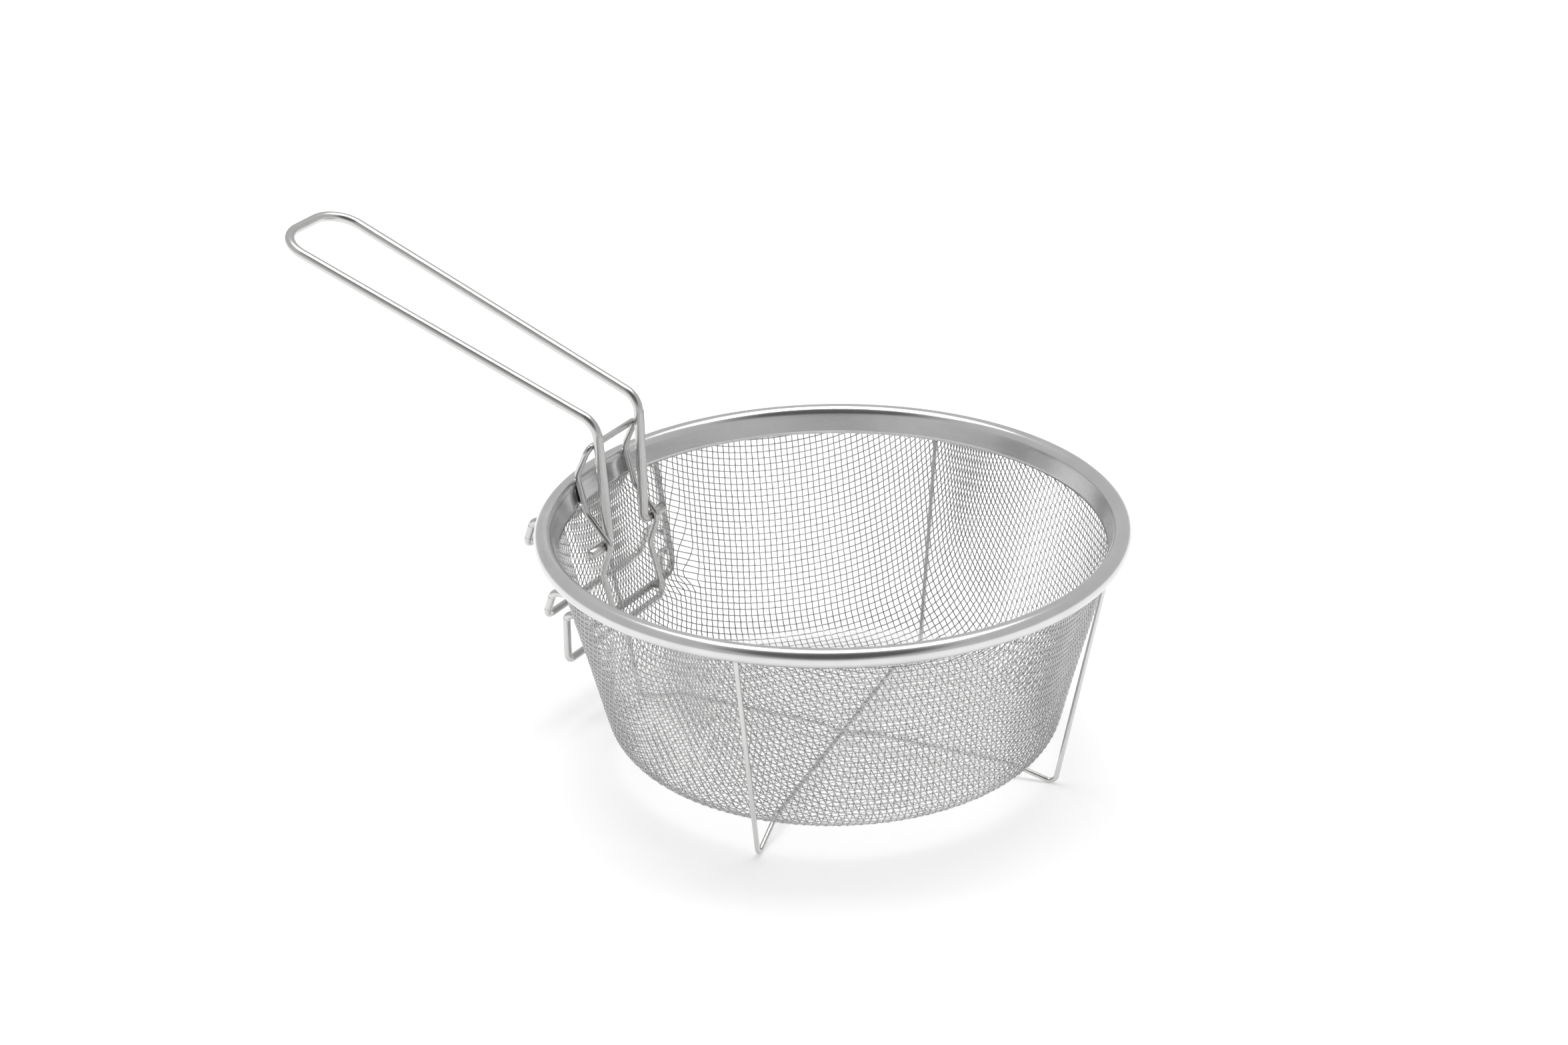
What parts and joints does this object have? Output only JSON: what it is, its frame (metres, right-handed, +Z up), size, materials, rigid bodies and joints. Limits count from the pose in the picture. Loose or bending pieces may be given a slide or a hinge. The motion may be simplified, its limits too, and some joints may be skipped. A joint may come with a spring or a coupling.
{
  "type": "fry basket",
  "caption": "Round woven-mesh fry basket with a rolled steel rim, wire feet, pot hooks outside and a long wire handle that folds into the bowl.",
  "frame": {"origin": "on the table plane, on the axis of the round rim", "axes": "+Z up along the rim's axis, handle and hooks towards -Y, +X to the right when looking along +Y"},
  "size_m": [0.22, 0.3486, 0.1695],
  "materials": {
    "rim_steel": "bright rolled stainless sheet",
    "mesh_steel": "woven stainless wire mesh",
    "wire_steel": "bright drawn stainless wire"
  },
  "bodies": {
    "basket": {"rim_band": "rim_steel", "rim_core_wire": "wire_steel", "mesh_bowl": "mesh_steel", "handle_bracket": "wire_steel", "bracket_welds": "wire_steel", "hook_frame": "wire_steel", "upper_pot_hook": "wire_steel", "middle_pot_hook": "wire_steel", "lower_pot_hook": "wire_steel", "support_wire_a": "wire_steel", "support_wire_b": "wire_steel"},
    "handle": {"handle": "wire_steel"}
  },
  "joints": [
    {"name": "handle_fold", "type": "hinge", "parent": "basket", "child": "handle", "pos_m": [0, -0.09149, 0.0693], "axis": [-1, 0, 0], "range_deg": [0, 160]}
  ]
}
